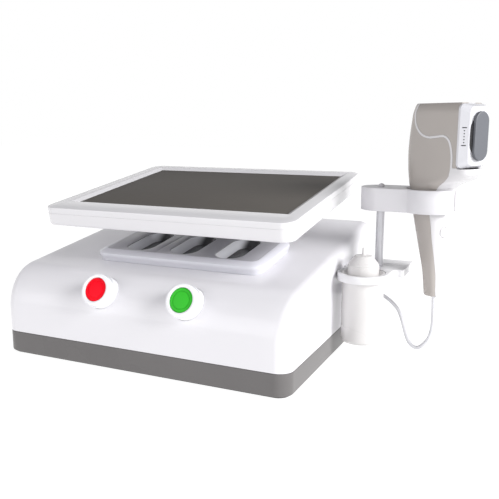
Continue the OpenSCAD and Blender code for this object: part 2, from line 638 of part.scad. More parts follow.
// Side outlines of the beige covers, seen from the side: x forward, y up
function grip_outline(grow) = [[-40 - grow, 60], [22.4 + grow, 60], [22.4 + grow, 108],
    [21.4 + grow, 125], [20 + grow, 140], [17 + grow, 170], [14 + grow, 203], [20 + grow, 212 - grow],
    [28 + grow, 222 - grow], [40 + grow, 230 - grow], [47 + grow, 237], [47.4 + grow, 244],
    [47.5 + grow, 258], [45.6 + grow, 269], [42 + grow, 277.4 + grow], [35.8, 281.4 + grow],
    [24.9, 280.6 + grow], [13.3, 279.7 + grow], [0.4, 283.7 + grow], [-10, 295.2 + grow],
    [-12.8 + grow, 308.5], [-11.2 + grow, 330], [-40 - grow, 330]];
function head_outline(grow) = [[notch_x + 20, 330], [-7.8 - grow, 330], [-9.8 - grow, 308.5],
    [-7.3 - grow, 296.5 - grow], [1.8, 286.3 - grow], [13.2, 282.7 - grow], [24.7, 283.6 - grow],
    [36.4, 284.4 - grow], [44.2 - grow, 279.8 - grow], [48.4 - grow, 270.6], [50.5 - grow, 258],
    [50.4 - grow, 246.2 - grow], [notch_x + 20, 246.2 - grow]];

module side_region(outline) for (s = [0, 1]) mirror([0, s, 0])
    translate([0, 30, 0]) rotate([90, 0, 0]) linear_extrude(height = 24) polygon(outline);

module handpiece_core() color(white) in_hand() difference() {
    hand_solid(0);
    difference() {
        hand_solid(4.6);
        block([screw_x - 11, -21, 240], [screw_x + 11, 21, 243.8]);
        translate([screw_x, 0, 306]) cylinder(r = 6, h = 20, $fn = 32);
        block([12, -15, fire_z - 3.5], [16, 15, fire_z + 3.5]);
        block([-12, -19, 262], [-8, 19, 266]);
        block([-12, -19, 290], [-8, 19, 294]);
    }
    translate([screw_x, 0, 300]) cylinder(r = 2 + fit, h = 9, $fn = 32);
    translate([0, 0, fire_z]) rotate([0, 90, 0]) cylinder(r = 2 + fit, h = 20, $fn = 32);
    translate([notch_x, -40, notch_z]) cube([60, 80, 100]);
    difference() {
        union() {
            side_region(grip_outline(0.2));
            side_region(head_outline(0.2));
        }
        hand_solid(2.2);
    }
    translate([0, 0, fire_z]) rotate([0, 90, 0]) cylinder(r = 7, h = 40, $fn = 48);
    translate([tail_x, 0, 60]) cylinder(r = 4.9, h = 40, $fn = 32);
}

module panel_skin(outline) intersection() {
    difference() {
        hand_solid(0);
        hand_solid(2);
    }
    side_region(outline);
    translate([-60, -40, 60]) cube([60 + notch_x, 80, 300]);
}

module grip_covers() color(beige) in_hand() panel_skin(grip_outline(0));
module head_panels() color(beige) in_hand() panel_skin(head_outline(0));

module scan_motor() color(metal) in_hand() translate([screw_x, 0, 0]) {
    translate([0, 0, 244]) cylinder(r = 9, h = 14, $fn = 48);
    translate([0, 0, 257]) cylinder(r = 3, h = 3, $fn = 32);
}

module handpiece_board() color(board_green) in_hand() block([-7.8, -14, 256], [-6.2, 14, 300]);

module scan_screw() color(metal) in_hand() translate([screw_x, 0, 0]) {
    translate([0, 0, 260.3]) cylinder(r = 2, h = 48.2, $fn = 32);
    translate([0, 0, 260.3]) cylinder(r = 4.5, h = 4, $fn = 32);
}

module scan_carriage() color(dark) in_hand() translate([screw_x, 0, pad_z]) difference() {
    union() {
        block([-7, -7, -5], [7, 7, 5]);
        block([6, -3, -2], [14, 3, 2]);
    }
    translate([0, 0, -10]) cylinder(r = 2 + fit, h = 20, $fn = 32);
}

module strain_relief() color(white) in_hand() translate([tail_x, 0, 0]) difference() {
    union() {
        translate([0, 0, 78.5]) cylinder(r1 = 3.8, r2 = 4.7, h = 2.5, $fn = 32);
        translate([0, 0, 81]) cylinder(r = 4.7, h = 9, $fn = 32);
    }
    translate([0, 0, 60]) cylinder(r = cable_d / 2 + 0.1, h = 22, $fn = 32);
}

module fire_button() color(white) in_hand() translate([0, 0, fire_z]) rotate([0, 90, 0]) {
    translate([0, 0, 21.6]) cylinder(r = 6.6, h = 3.2, $fn = 48);
    translate([0, 0, 10]) cylinder(r = 2, h = 12, $fn = 32);
}

// Treatment cartridge: a box that tapers to a small front face with a raised pad
module cart_box(inset, back) hull() {
    translate([back, 0, pad_z]) rotate([0, 90, 0]) plate(75 - 2 * inset, 47 - 2 * inset, 3, 7 - inset);
    translate([cart_front - inset - 2.1, 0, pad_z]) rotate([0, 90, 0])
        plate(70 - 2 * inset, 35 - 2 * inset, 2, 9 - inset);
}

module cartridge_shell() color(white) in_hand() difference() {
    cart_box(0, notch_x + gap);
    cart_box(2.4, notch_x - 4);
}

module pad_seat() color(dark) in_hand() translate([cart_front, 0, pad_z]) rotate([0, 90, 0])
    linear_extrude(height = 1) stadium_x(56.4, 28.4);

module treatment_pad() color([0.55, 0.57, 0.62]) in_hand() translate([cart_front + 1.1, 0, pad_z])
    rotate([0, 90, 0]) {
        linear_extrude(height = 1) stadium_x(54, 26.4);
        translate([0, 0, 0.9]) linear_extrude(height = 0.9) stadium_x(52, 24.4);
    }

module stadium_x(l, w) rotate(90) stadium(l, w);

module transducer() color(metal) in_hand() translate([notch_x + 2, 0, pad_z]) rotate([0, 90, 0])
    cylinder(r = 8, h = 7, $fn = 48);

// Squeeze bottle with a bead under its shoulder that rests in the ring
module bottle_body() color(white) translate([ring_at[0], ring_at[1], 0]) rotate_extrude($fn = 96) {
    r = bottle_d / 2;
    polygon([[0, 21.5], [r - 5, 21.5], [r - 1.6, 22.9], [r, 26.5], [r, 109.3], [r + 1.9, 109.3], [r + 1.9, 111],
        [r - 1, 111.4], [21, 107.6], [17, 107.6], [17, 118], [15.6, 118], [15.6, 106.4], [20, 106.4],
        [r - 1.4, 105], [r - 1.4, 27.4], [r - 5.2, 23], [0, 23]]);
}

module gel_fill() color([0.8, 0.85, 0.9]) translate([ring_at[0], ring_at[1], 23.2])
    cylinder(r = bottle_d / 2 - 5.4, h = 72, $fn = 64);

module bottle_cap() color(white) translate([ring_at[0], ring_at[1], 0]) rotate_extrude($fn = 96)
    polygon([[17.3, 108], [19.8, 108], [19.8, 121], [19.2, 121.4], [19.2, 122], [19.6, 122.4], [10.6, 133.6],
        [9.8, 134], [2.4, 134], [1.9, 143.6], [0.9, 144], [0.9, 132], [8.8, 131.6], [17.3, 121]]);

base_tray();
top_shell();
rear_panel();
chassis_plate();
foot_rim();
screws();
tray_body();
tray_inlay();
tray_pockets();
stop_bezel();
start_bezel();
button_bracket();
button_nuts();
button_switches();
power_supply();
main_board();
driver_board();
heat_sink();
board_standoffs();
fan_frame();
mains_inlet();
rocker_frame();
handpiece_socket();
stand_base();
lower_hinge_pin();
holder_bracket();
holder_post();
cradle();
cradle_screw();
cable_plug();
handpiece_cable();
lift_arm();
display_front_frame();
display_rear_cover();
display_glass();
lcd_panel();
display_board();
display_bracket();
display_screws();
upper_hinge_pin();
stop_button();
start_button();
power_rocker();
fan_rotor();
handpiece_core();
grip_covers();
head_panels();
scan_motor();
handpiece_board();
strain_relief();
fire_button();
cartridge_shell();
pad_seat();
treatment_pad();
scan_screw();
scan_carriage();
transducer();
bottle_body();
gel_fill();
bottle_cap();
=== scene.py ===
"""Looks of the desktop ultrasound therapy machine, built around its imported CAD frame."""

import math

import bmesh
import bpy
from mathutils import Matrix, Vector


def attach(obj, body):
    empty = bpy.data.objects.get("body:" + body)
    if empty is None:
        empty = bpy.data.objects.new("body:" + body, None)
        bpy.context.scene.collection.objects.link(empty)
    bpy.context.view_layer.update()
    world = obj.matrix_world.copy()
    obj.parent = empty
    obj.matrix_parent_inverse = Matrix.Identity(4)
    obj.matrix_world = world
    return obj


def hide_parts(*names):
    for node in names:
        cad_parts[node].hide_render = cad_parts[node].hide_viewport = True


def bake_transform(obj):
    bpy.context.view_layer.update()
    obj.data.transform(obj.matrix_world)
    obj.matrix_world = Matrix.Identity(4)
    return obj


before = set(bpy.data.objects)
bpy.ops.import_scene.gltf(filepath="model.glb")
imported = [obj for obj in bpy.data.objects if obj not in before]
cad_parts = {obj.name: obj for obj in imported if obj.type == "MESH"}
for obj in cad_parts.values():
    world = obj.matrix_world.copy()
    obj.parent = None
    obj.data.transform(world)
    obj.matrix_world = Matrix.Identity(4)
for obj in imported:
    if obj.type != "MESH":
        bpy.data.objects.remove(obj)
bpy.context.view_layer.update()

# ---------------------------------------------------------------- sizes, in mm, as in the CAD
MM = 0.001
CONSOLE_W, CONSOLE_D = 400, 348
CORNER_R = 18           # upright corners of the console
TOP_EDGE_R = 13         # long edges of its top
ROLL_R, ROLL_Y = 56, -118   # front roll: its radius and where its axis lies
SLOPE_DEGREES = 7.6
SLOPE = math.radians(SLOPE_DEGREES)
BAND_TOP = 29.75
COVER_WALL = 2.6
POST_XY = (241, 51)
BOTTLE_XY = (233, 2)
LEAD_AXIS = 13.5        # the handpiece's cable, forward of the grip's axis
THUMB_Z = 164           # height of the handpiece's thumb button
CABLE_D = 4.8


# ---------------------------------------------------------------- frames, in mm
def shift(x, y, z):
    return Matrix.Translation((x, y, z))


def turn(degrees, axis):
    return Matrix.Rotation(math.radians(degrees), 4, axis)


def top_at(y):
    """Height of the console's sloping top."""
    return 108 + (y + 174) * math.tan(SLOPE)


WORLD = Matrix.Identity(4)
IN_HAND = shift(304, 51, 0) @ turn(-32, "Z")                # x forward, z up along the grip
IN_DISPLAY = shift(6.5, -125, 188.4) @ turn(7.7, "X")       # origin at the front edge
IN_SOCKET = shift(200, 60, 73) @ turn(90, "Y")              # z out of the console's right side
IN_THUMB = IN_HAND @ shift(0, 0, THUMB_Z) @ turn(90, "Y")   # z out of the grip's front


def at_button(side):
    """Push button's frame, z out of the panel: side -1 is stop, 1 is start."""
    return shift(10 + side * 59.5, -177.4, 101.2) @ turn(63, "X")


# ---------------------------------------------------------------- mesh helpers
def spline(points, steps):
    """Catmull-Rom curve through points of any size, steps to each span."""
    out = []
    last = len(points) - 1
    for i in range(last):
        a, b = points[max(i - 1, 0)], points[i]
        c, d = points[i + 1], points[min(i + 2, last)]
        for k in range(steps):
            t = k / steps
            out.append(tuple(
                0.5 * (2 * q + (r - p) * t + (2 * p - 5 * q + 4 * r - s) * t * t
                       + (3 * q - p - 3 * r + s) * t ** 3)
                for p, q, r, s in zip(a, b, c, d)))
    return out + [tuple(points[-1])]


def rounded(points, steps=5):
    """Profile (a, b, radius) with its corners rounded."""
    out = []
    for i, (x, y, radius) in enumerate(points):
        here = Vector((x, y))
        if radius <= 0 or i in (0, len(points) - 1):
            out.append((x, y))
            continue
        before = Vector(points[i - 1][:2]) - here
        after = Vector(points[i + 1][:2]) - here
        half = before.angle(after) / 2
        reach = min(radius / math.tan(half), before.length * 0.49, after.length * 0.49)
        a = here + before.normalized() * reach
        b = here + after.normalized() * reach
        for k in range(steps + 1):
            t = k / steps
            p = a * (1 - t) ** 2 + here * 2 * t * (1 - t) + b * t * t
            out.append((p.x, p.y))
    return out


def rounded_rect(w, d, r, cx=0.0, cy=0.0, steps=10):
    """Outline of a rectangle with round corners."""
    out = []
    for i, (sx, sy) in enumerate(((1, 1), (-1, 1), (-1, -1), (1, -1))):
        for k in range(steps + 1):
            a = math.radians(90 * i + 90 * k / steps)
            out.append((cx + sx * (w / 2 - r) + r * math.cos(a),
                        cy + sy * (d / 2 - r) + r * math.sin(a)))
    return out


def stadium(length, w, steps=20):
    """Outline of a long hole along the second axis."""
    out = []
    for s in (1, -1):
        for k in range(steps + 1):
            a = math.pi * k / steps + (0 if s > 0 else math.pi)
            out.append((w / 2 * math.cos(a), s * (length - w) / 2 + w / 2 * math.sin(a)))
    return out


def new_piece(name, verts, faces, place=WORLD, smooth=32):
    """Object from points in mm."""
    mesh = bmesh.new()
    made = [mesh.verts.new(place @ Vector(v) * MM) for v in verts]
    for face in faces:
        try:
            mesh.faces.new([made[i] for i in face])
        except ValueError:      # the same face twice
            pass
    return from_bmesh(name, mesh, smooth)


def from_bmesh(name, mesh, smooth=32):
    """Object from a bmesh: welded, its faces outwards, edges over smooth degrees kept sharp."""
    bmesh.ops.remove_doubles(mesh, verts=mesh.verts, dist=2e-6)
    bmesh.ops.dissolve_degenerate(mesh, dist=1e-6, edges=mesh.edges)
    bmesh.ops.recalc_face_normals(mesh, faces=mesh.faces)
    data = bpy.data.meshes.new(name)
    mesh.to_mesh(data)
    mesh.free()
    data.shade_smooth()
    data.set_sharp_from_angle(angle=math.radians(smooth))
    piece = bpy.data.objects.new(name, data)
    bpy.context.scene.collection.objects.link(piece)
    return piece


def loft(name, rings, place=WORLD, loop=False, smooth=32):
    """Skin over rings of equally many points: capped at both ends, or joined into a loop."""
    n = len(rings[0])
    verts = [p for ring in rings for p in ring]
    spans = len(rings) if loop else len(rings) - 1
    faces = []
    for i in range(spans):
        j = (i + 1) % len(rings)
        for k in range(n):
            m = (k + 1) % n
            faces.append((i * n + k, i * n + m, j * n + m, j * n + k))
    if not loop:
        faces.append(tuple(range(n)))
        faces.append(tuple((len(rings) - 1) * n + k for k in range(n)))
    return new_piece(name, verts, faces, place, smooth)


def lathe(name, profile, place=WORLD, loop=False, turns=96, smooth=32):
    """Solid of revolution about local Z from (radius, height) points."""
    rings = [[(r * math.cos(2 * math.pi * k / turns), r * math.sin(2 * math.pi * k / turns), z)
              for k in range(turns)] for r, z in profile]
    return loft(name, rings, place, loop=loop, smooth=smooth)


def settle(piece, smooth=32):
    """Turn a piece's modifiers into its mesh."""
    bpy.context.view_layer.update()
    graph = bpy.context.evaluated_depsgraph_get()
    data = bpy.data.meshes.new_from_object(piece.evaluated_get(graph))
    piece.modifiers.clear()
    piece.data = data
    data.shade_smooth()
    data.set_sharp_from_angle(angle=math.radians(smooth))
    return piece


def cut(piece, tools, operation="DIFFERENCE", smooth=32):
    """Cut tools out of a piece, or keep what they share, and remove the tools."""
    for tool in tools:
        step = piece.modifiers.new("cut", "BOOLEAN")
        step.operation = operation
        step.solver = "EXACT"
        step.object = tool
    settle(piece, smooth)
    for tool in tools:
        bpy.data.objects.remove(tool)
    return piece


def soften(piece, width, segments=2, angle=32):
    """Round a piece's edges."""
    step = piece.modifiers.new("edges", "BEVEL")
    step.width = width * MM
    step.segments = segments
    step.limit_method = "ANGLE"
    step.angle_limit = math.radians(angle)
    step.harden_normals = False
    return settle(piece, 40)


def cad_copy(node, edge=0.4, segments=2, angle=32):
    """Copy of a CAD node with its split points joined and its edges rounded."""
    mesh = bmesh.new()
    mesh.from_mesh(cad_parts[node].data)
    bmesh.ops.remove_doubles(mesh, verts=mesh.verts, dist=1e-5)
    bmesh.ops.dissolve_limit(mesh, angle_limit=math.radians(0.6), verts=mesh.verts,
                             edges=mesh.edges)
    piece = from_bmesh(node + "_look", mesh)
    return soften(piece, edge, segments, angle) if edge else piece


def hand_in(piece, body, material, slot, *nodes):
    """Give a piece its finish and its body, and hide the CAD nodes that it stands for."""
    piece.data.materials.clear()
    piece.data.materials.append(material)
    for polygon in piece.data.polygons:
        polygon.material_index = 0      # cut pieces keep their tools' numbers
    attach(piece, body)
    if nodes:
        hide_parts(*nodes)
    return piece


# ---------------------------------------------------------------- camera
def aim_camera():
    """The photograph's camera, level, as fitted to its outlines."""
    yaw, pitch = math.radians(24.4814), math.radians(10.8875)
    where = (0.44404, -0.81063, 0.30014)
    look = Vector((-math.sin(yaw), math.cos(yaw), 0))
    forward = Vector((look.x * math.cos(pitch), look.y * math.cos(pitch), -math.sin(pitch)))
    right = Vector((math.cos(yaw), math.sin(yaw), 0))
    up = right.cross(forward)
    camera = bpy.data.objects.new("camera", bpy.data.cameras.new("camera"))
    bpy.context.scene.collection.objects.link(camera)
    camera.matrix_world = Matrix((
        (right.x, up.x, -forward.x, where[0]), (right.y, up.y, -forward.y, where[1]),
        (right.z, up.z, -forward.z, where[2]), (0, 0, 0, 1)))
    camera.data.sensor_width = 36
    camera.data.lens = 48.04
    bpy.context.scene.camera = camera


aim_camera()


# ---------------------------------------------------------------- materials
COLOUR_A, COLOUR_B, COLOUR_OUT = 6, 7, 2    # a Mix node's colour sockets


def speckled(nodes, links, colour, grain, dust):
    """Colour with fine darker specks."""
    specks = nodes.new("ShaderNodeValToRGB")
    specks.color_ramp.elements[0].position = 0.35
    specks.color_ramp.elements[0].color = [1 - dust] * 3 + [1]
    specks.color_ramp.elements[1].position = 0.65
    links.new(grain, specks.inputs["Fac"])
    blend = nodes.new("ShaderNodeMix")
    blend.data_type = "RGBA"
    blend.blend_type = "MULTIPLY"
    blend.inputs["Factor"].default_value = 1
    links.new(colour, blend.inputs[COLOUR_A])
    links.new(specks.outputs["Color"], blend.inputs[COLOUR_B])
    return blend.outputs[COLOUR_OUT]


def shaded(nodes, links, colour, shade):
    """Colour with painted shade on floors and on walls that face the object's left."""
    facing = nodes.new("ShaderNodeNewGeometry")
    upward = nodes.new("ShaderNodeVectorMath")
    upward.operation = "DOT_PRODUCT"
    upward.inputs[1].default_value = (-0.9, 0, 1)
    links.new(facing.outputs["Normal"], upward.inputs[0])
    floors = nodes.new("ShaderNodeMapRange")
    floors.interpolation_type = "SMOOTHSTEP"
    floors.inputs["From Min"].default_value = -0.1
    floors.inputs["From Max"].default_value = 0.45
    links.new(upward.outputs["Value"], floors.inputs["Value"])
    darker = nodes.new("ShaderNodeMix")
    darker.data_type = "RGBA"
    links.new(floors.outputs["Result"], darker.inputs["Factor"])
    links.new(colour, darker.inputs[COLOUR_A])
    darker.inputs[COLOUR_B].default_value = list(shade) + [1]
    return darker.outputs[COLOUR_OUT]


def finish_of(name, colour, rough, grain=1400, bump=0.03, mottle=0.015, coat=0.0, specular=0.5,
              metal=0.0, streaks=None, subsurface=0.0, dust=0.0, shade=None, vary=0.05):
    """Moulded or painted surface: cloudy tone, uneven gloss and a fine moulding grain.

    grain is the grain's scale and streaks stretches it, mottle is the tone's cloudiness and vary
    the gloss's, dust is the strength of its specks, and shade is the colour of the painted shade
    on its floors and left-facing walls.
    """
    material = bpy.data.materials.new(name)
    material.use_nodes = True
    nodes, links = material.node_tree.nodes, material.node_tree.links
    shader = nodes["Principled BSDF"]
    place = nodes.new("ShaderNodeTexCoord")
    cloud = nodes.new("ShaderNodeTexNoise")
    cloud.inputs["Scale"].default_value = 14
    cloud.inputs["Detail"].default_value = 3
    links.new(place.outputs["Object"], cloud.inputs["Vector"])
    tone = nodes.new("ShaderNodeValToRGB")
    tone.color_ramp.elements[0].position = 0.3
    tone.color_ramp.elements[1].position = 0.7
    tone.color_ramp.elements[0].color = [c * (1 - mottle) for c in colour] + [1]
    tone.color_ramp.elements[1].color = [min(c * (1 + mottle), 1) for c in colour] + [1]
    links.new(cloud.outputs["Fac"], tone.inputs["Fac"])

    fine = nodes.new("ShaderNodeTexNoise")
    fine.inputs["Scale"].default_value = grain
    fine.inputs["Detail"].default_value = 2
    if streaks:
        stretch = nodes.new("ShaderNodeMapping")
        stretch.inputs["Scale"].default_value = streaks
        links.new(place.outputs["Object"], stretch.inputs["Vector"])
        links.new(stretch.outputs["Vector"], fine.inputs["Vector"])
    else:
        links.new(place.outputs["Object"], fine.inputs["Vector"])

    colour_out = tone.outputs["Color"]
    if dust:
        colour_out = speckled(nodes, links, colour_out, fine.outputs["Fac"], dust)
    # painted shade: floors and left-facing walls take the shade colour
    if shade:
        colour_out = shaded(nodes, links, colour_out, shade)
    links.new(colour_out, shader.inputs["Base Color"])

    gloss = nodes.new("ShaderNodeMapRange")
    gloss.inputs["To Min"].default_value = max(rough - vary, 0.02)
    gloss.inputs["To Max"].default_value = rough + vary
    links.new(cloud.outputs["Fac"], gloss.inputs["Value"])
    links.new(gloss.outputs["Result"], shader.inputs["Roughness"])
    relief = nodes.new("ShaderNodeBump")
    relief.inputs["Strength"].default_value = bump
    relief.inputs["Distance"].default_value = 0.04 * MM
    links.new(fine.outputs["Fac"], relief.inputs["Height"])
    links.new(relief.outputs["Normal"], shader.inputs["Normal"])

    shader.inputs["Metallic"].default_value = metal
    shader.inputs["Specular IOR Level"].default_value = specular
    shader.inputs["Coat Weight"].default_value = coat
    shader.inputs["Coat Roughness"].default_value = 0.08
    if subsurface:
        shader.inputs["Subsurface Weight"].default_value = subsurface
        shader.inputs["Subsurface Radius"].default_value = (0.004, 0.004, 0.004)
        shader.inputs["Subsurface Scale"].default_value = 1.0
    return material


SHELL = finish_of("shell_white", (0.79, 0.78, 0.81), 0.28, bump=0.04, coat=0.25, mottle=0.005,
                  vary=0.012)
BRACKET = finish_of("bracket_white", (0.76, 0.755, 0.77), 0.34, bump=0.05, specular=0.3)
HOLDER = finish_of("holder_white", (0.655, 0.645, 0.67), 0.36, bump=0.06, specular=0.35)
BAND = finish_of("band_grey", (0.165, 0.158, 0.157), 0.28, bump=0.10, mottle=0.03,
                 specular=0.14, dust=0.04)
DISPLAY_WHITE = finish_of("display_white", (0.755, 0.745, 0.765), 0.26, bump=0.04, coat=0.3,
                          mottle=0.006, vary=0.015)
GLASS = finish_of("glass_dark", (0.125, 0.116, 0.106), 0.5, bump=0.01, specular=0.02, mottle=0.03)
TRAY_WHITE = finish_of("tray_white", (0.68, 0.68, 0.73), 0.30, bump=0.05, coat=0.4)
TRAY_TOP = finish_of("tray_grey", (0.42, 0.415, 0.445), 0.34, bump=0.12, mottle=0.03, dust=0.04)
# painted shade: the pockets' floors and left-facing walls turn nearly black
POCKET = finish_of("pocket_grey", (0.93, 0.94, 0.98), 0.22, bump=0.06, coat=0.3,
                   shade=(0.05, 0.05, 0.052))
COLLAR = finish_of("collar_white", (0.90, 0.90, 0.93), 0.18, bump=0.02, coat=0.5)
RED = finish_of("button_red", (0.97, 0.003, 0.018), 0.30, bump=0.03, specular=0.08, mottle=0.03)
GREEN = finish_of("button_green", (0.040, 0.53, 0.030), 0.30, bump=0.03, specular=0.12,
                  mottle=0.03)
HAND_WHITE = finish_of("hand_white", (0.63, 0.62, 0.635), 0.20, bump=0.03, coat=0.4)
BEIGE = finish_of("hand_beige", (0.40, 0.368, 0.345), 0.24, bump=0.06, coat=0.25, mottle=0.02)
CARTRIDGE = finish_of("cartridge_white", (0.62, 0.62, 0.655), 0.22, bump=0.03, coat=0.4)
PAD = finish_of("pad_grey", (0.105, 0.110, 0.126), 0.5, grain=2600, bump=0.25, mottle=0.03)
BLACK = finish_of("plastic_black", (0.020, 0.020, 0.022), 0.38, bump=0.2, mottle=0.08)
RUBBER = finish_of("rubber_black", (0.028, 0.028, 0.028), 0.75, grain=2200, bump=0.4, mottle=0.1)
PANEL = finish_of("panel_metal", (0.62, 0.63, 0.66), 0.45, grain=2600, bump=0.3, dust=0.06)
STEEL = finish_of("fastener", (0.62, 0.62, 0.64), 0.26, grain=900, bump=0.2, metal=1.0,
                  streaks=(6, 6, 0.4))
POST = finish_of("post_metal", (0.62, 0.62, 0.65), 0.24, grain=700, bump=0.08, metal=0.25,
                 streaks=(9, 9, 0.15))
ALLOY = finish_of("heat_sink_alloy", (0.60, 0.61, 0.63), 0.4, bump=0.2, metal=1.0)
BOARD = finish_of("circuit_green", (0.02, 0.14, 0.06), 0.4, grain=500, bump=0.3, mottle=0.15,
                  dust=0.25)
CABLE = finish_of("cable_white", (0.66, 0.66, 0.69), 0.42, bump=0.1)
ARM = finish_of("arm_paint", (0.78, 0.78, 0.81), 0.36, grain=2400, bump=0.25, dust=0.03)
BOTTLE = finish_of("bottle_white", (0.68, 0.665, 0.66), 0.26, bump=0.08, subsurface=0.05)
GEL = finish_of("gel_clear", (0.62, 0.74, 0.82), 0.1, bump=0.02)
MARK = finish_of("print_grey", (0.02, 0.02, 0.024), 0.6, bump=0.05, specular=0.2)


# ---------------------------------------------------------------- cable
# from the handpiece's strain relief down, up behind the bottle and into the plug
CABLE_ROUTE = [
    (315.4, 43.8, 79.5), (316, 43.8, 60), (316, 44, 44), (314.5, 44.5, 31), (311, 45, 20.5),
    (305, 45, 12), (298, 46, 6.5), (291, 47, 7.5), (285, 49, 13), (281, 51, 21), (278, 52, 30),
    (275, 53, 39), (272, 54, 46.5), (268, 55, 53.5), (262, 56, 59.5), (255, 58, 64.5),
    (248, 59, 68.5), (241, 60, 71.5), (233, 60, 73)]


def tube(name, path, radius, sides=24):
    """Round tube along a path, without twist."""
    rings = []
    across = Vector((0, 1, 0))
    for i, p in enumerate(path):
        ahead = Vector(path[min(i + 1, len(path) - 1)]) - Vector(path[max(i - 1, 0)])
        ahead.normalize()
        across = (across - ahead * across.dot(ahead)).normalized()
        other = ahead.cross(across)
        rings.append([tuple(Vector(p) + radius * (math.cos(a) * across + math.sin(a) * other))
                      for a in (2 * math.pi * k / sides for k in range(sides))])
    return loft(name, rings)


def make_cable():
    path = spline(CABLE_ROUTE, 6)
    cable = tube("handpiece_lead", path, CABLE_D / 2)
    cable.data.materials.append(CABLE)
    plug = lathe("lead_plug", rounded([
        (0, -10, 0), (6.2, -10, 0.6), (6.2, 2.7, 0), (8, 2.7, 0.5), (8, 5.5, 0.3), (7.5, 6.0, 0.3),
        (8, 6.6, 0.3), (8, 8.5, 0.3), (7.5, 9.1, 0.3), (8, 9.7, 0.3), (8, 11.6, 0.3),
        (7.5, 12.2, 0.3), (8, 12.8, 0.3), (8, 19.7, 0.8), (6, 20.0, 0.4), (5.4, 24, 0.3),
        (5.8, 24.6, 0.3), (4.6, 28, 0.3), (4.9, 28.6, 0.3), (3.6, 32.6, 0.4), (2.45, 33, 0.2),
        (0, 33, 0)]), IN_SOCKET)
    hand_in(plug, "console", CABLE, "cable_white", "cable_plug")
    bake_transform(cable)
    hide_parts("handpiece_cable")
    boot = lathe("lead_boot", rounded([
        (2.5, 90, 0), (4.7, 90, 0.3), (4.7, 81, 0.2), (4.5, 79.6, 0.5), (3.4, 78.4, 0.4),
        (2.5, 78.5, 0), (2.5, 90, 0)])[:-1], IN_HAND @ shift(LEAD_AXIS, 0, 0), loop=True,
        turns=48)
    hand_in(boot, "handpiece", CABLE, "cable_white", "strain_relief")


make_cable()


# ---------------------------------------------------------------- console
def console_solid(name, inset, low):
    """Console cover as one closed form: front roll, soft side edges and upright corners."""
    w, d = CONSOLE_W / 2 - inset, CONSOLE_D / 2 - inset
    r_low, r_top = CORNER_R - inset, TOP_EDGE_R - inset
    roll_r = ROLL_R - inset
    roll_z = top_at(ROLL_Y) - ROLL_R / math.cos(SLOPE)
    sweep = 90 - math.degrees(SLOPE)
    fold, rows, columns = 10, 40, 24    # faces over an edge, over the roll, across the cover

    # stations up the front, over the roll and along the top: y, z, facing angle, edge radius
    stations = [(-d, low + (roll_z - low) * k / 3, 180, r_low) for k in range(3)]
    for k in range(rows + 1):
        t = k / rows
        a = math.radians(180 - sweep * t)
        ease = t * t * (3 - 2 * t)
        stations.append((ROLL_Y + roll_r * math.cos(a), roll_z + roll_r * math.sin(a),
                         180 - 90 * t, r_low + (r_top - r_low) * ease))
    y_start, z_start = stations[-1][:2]
    z_end = top_at(0) - inset / math.cos(SLOPE)
    for k in range(1, 7):
        t = k / 6
        stations.append((y_start * (1 - t), z_start + (z_end - z_start) * t, 90, r_top))

    # front half: a row of points across each station
    grid = []
    for y, z, aim, r in stations:
        a = math.radians(aim)
        row = []
        for k in range(fold + 1):
            f = math.radians(90 - 90 * k / fold)
            deep = r * (1 - math.cos(f))
            row.append((-(w - r + r * math.sin(f)), y - deep * math.cos(a), z - deep * math.sin(a)))
        right = [(-x, b, c) for x, b, c in reversed(row)]
        middle = [(-(w - r) + 2 * (w - r) * k / columns, y, z) for k in range(1, columns)]
        grid.append(row + middle + right)

    # back half: the top edge's rings round both rear corners, then down to the foot
    back = []
    for k in range(fold + 1):
        f = math.radians(90 * k / fold)
        i = r_top * (1 - math.sin(f))
        path = [(w - i, 0)]
        for s in (1, -1):
            for q in range(17):
                a = math.radians(90 * q / 16 + (0 if s > 0 else 90))
                path.append((s * (w - r_low) + (r_low - i) * math.cos(a),
                             d - r_low + (r_low - i) * math.sin(a)))
        path.append((-(w - i), 0))
        drop = r_top * (1 - math.cos(f)) + inset / math.cos(SLOPE)
        back.append([(x, y, top_at(y) - drop) for x, y in path])
    foot = [(x, y, low) for x, y, z in back[-1]]

    verts, faces = [], []

    def add(points):
        start = len(verts)
        verts.extend(points)
        return list(range(start, len(verts)))

    def stitch(lines):
        ids = [add(line) for line in lines]
        for a, b in zip(ids, ids[1:]):
            for k in range(len(a) - 1):
                faces.append((a[k], a[k + 1], b[k + 1], b[k]))

    stitch(grid)
    stitch(back + [foot])
    faces.append(tuple(add(back[0] + grid[-1][fold + 1:-fold - 1])))
    for side in (0, -1):
        faces.append(tuple(add([row[side] for row in grid] + [foot[-1 if side == 0 else 0]])))
    faces.append(tuple(add(grid[0] + foot)))
    return new_piece(name, verts, faces, smooth=40)


def drum(name, radius, low, high, place, turns=64):
    """Plain cylinder along local Z, to cut with."""
    return lathe(name, [(radius, low), (radius, high)], place, turns=turns)


def box(name, w, d, r, low, high, place=WORLD, cx=0.0, cy=0.0, steps=6):
    """Block with round upright edges, to cut with."""
    rings = [[(x, y, z) for x, y in rounded_rect(w, d, r, cx, cy, steps)] for z in (low, high)]
    return loft(name, rings, place)


